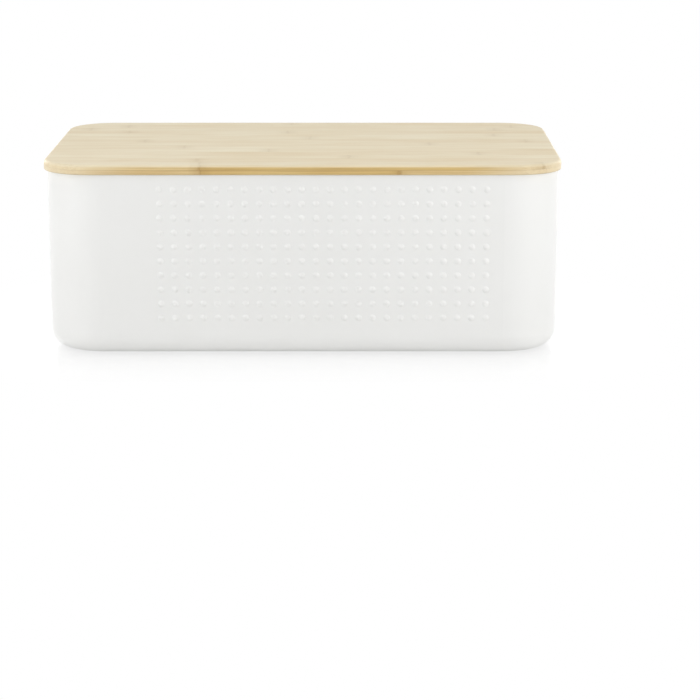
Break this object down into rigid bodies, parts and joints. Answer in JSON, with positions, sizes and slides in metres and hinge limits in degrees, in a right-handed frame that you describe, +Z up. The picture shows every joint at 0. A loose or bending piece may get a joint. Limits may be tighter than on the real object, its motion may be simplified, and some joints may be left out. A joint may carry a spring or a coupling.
{
  "type": "bread box",
  "caption": "Rounded moulded plastic bread bin with raised nubs on its long walls and soft feet, closed by a lift-off bamboo board lid with a plug underneath.",
  "frame": {"origin": "on the table under the middle of the box, where the feet stand", "axes": "+X along the box, -Y towards its front wall, +Z up"},
  "size_m": [0.4544, 0.271, 0.1691],
  "materials": {
    "bin_plastic": "white, fine satin moulded texture",
    "foot_rubber": "pale grey, matt",
    "bamboo_top": "pale bamboo, sanded and oiled",
    "bamboo_lower": "pale bamboo, sanded and oiled",
    "bamboo_plug": "pale bamboo, sanded and oiled"
  },
  "bodies": {
    "bin": {"bin_shell": "bin_plastic", "foot_back_left": "foot_rubber", "foot_back_right": "foot_rubber", "foot_front_left": "foot_rubber", "foot_front_right": "foot_rubber"},
    "lid": {"lid_lower_strip_01": "bamboo_lower", "lid_lower_strip_02": "bamboo_lower", "lid_lower_strip_03": "bamboo_lower", "lid_lower_strip_04": "bamboo_lower", "lid_lower_strip_05": "bamboo_lower", "lid_lower_strip_06": "bamboo_lower", "lid_lower_strip_07": "bamboo_lower", "lid_lower_strip_08": "bamboo_lower", "lid_lower_strip_09": "bamboo_lower", "lid_lower_strip_10": "bamboo_lower", "lid_lower_strip_11": "bamboo_lower", "lid_lower_strip_12": "bamboo_lower", "lid_lower_strip_13": "bamboo_lower", "lid_lower_strip_14": "bamboo_lower", "lid_lower_strip_15": "bamboo_lower", "lid_plug_strip_01": "bamboo_plug", "lid_plug_strip_02": "bamboo_plug", "lid_plug_strip_03": "bamboo_plug", "lid_plug_strip_04": "bamboo_plug", "lid_plug_strip_05": "bamboo_plug", "lid_plug_strip_06": "bamboo_plug", "lid_plug_strip_07": "bamboo_plug", "lid_plug_strip_08": "bamboo_plug", "lid_plug_strip_09": "bamboo_plug", "lid_plug_strip_10": "bamboo_plug", "lid_plug_strip_11": "bamboo_plug", "lid_plug_strip_12": "bamboo_plug", "lid_plug_strip_13": "bamboo_plug", "lid_top_strip_01": "bamboo_top", "lid_top_strip_02": "bamboo_top", "lid_top_strip_03": "bamboo_top", "lid_top_strip_04": "bamboo_top", "lid_top_strip_05": "bamboo_top", "lid_top_strip_06": "bamboo_top", "lid_top_strip_07": "bamboo_top", "lid_top_strip_08": "bamboo_top", "lid_top_strip_09": "bamboo_top", "lid_top_strip_10": "bamboo_top", "lid_top_strip_11": "bamboo_top", "lid_top_strip_12": "bamboo_top", "lid_top_strip_13": "bamboo_top", "lid_top_strip_14": "bamboo_top"}
  },
  "joints": [
    {"name": "lid_lift", "type": "slide", "parent": "bin", "child": "lid", "axis": [0, 0, 1], "range_m": [0, 0.2]}
  ]
}
